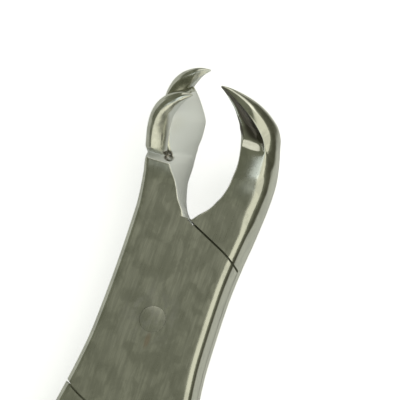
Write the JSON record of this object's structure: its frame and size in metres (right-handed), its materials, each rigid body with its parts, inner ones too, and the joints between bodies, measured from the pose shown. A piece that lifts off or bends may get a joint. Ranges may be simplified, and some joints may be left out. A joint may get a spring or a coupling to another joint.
{
  "type": "extraction forceps",
  "caption": "Dental extraction forceps with a lap joint: a two-horned beak closes against a single pointed beak, both bent forward, on long bowed handles.",
  "frame": {"origin": "on the pivot pin's axis, in the plane of the flat rear faces that the forceps lies on", "axes": "+X across the joint towards the single-pointed beak, +Y from the handles towards the beaks, +Z along the pin, from the rear face to the front face"},
  "size_m": [0.0378, 0.1773, 0.0183],
  "materials": {
    "front_half_steel": "satin ground flats, polished edges and beaks",
    "back_half_steel": "satin ground flats, polished edges and beaks",
    "pivot_pin_steel": "ground flush with the faces"
  },
  "bodies": {
    "back_half": {"back_half": "back_half_steel", "pivot_pin": "pivot_pin_steel"},
    "front_half": {"front_half": "front_half_steel"}
  },
  "joints": [
    {"name": "pivot", "type": "hinge", "parent": "back_half", "child": "front_half", "pos_m": [0, 0, 0.0045], "axis": [0, 0, 1], "range_deg": [0, 40]}
  ]
}
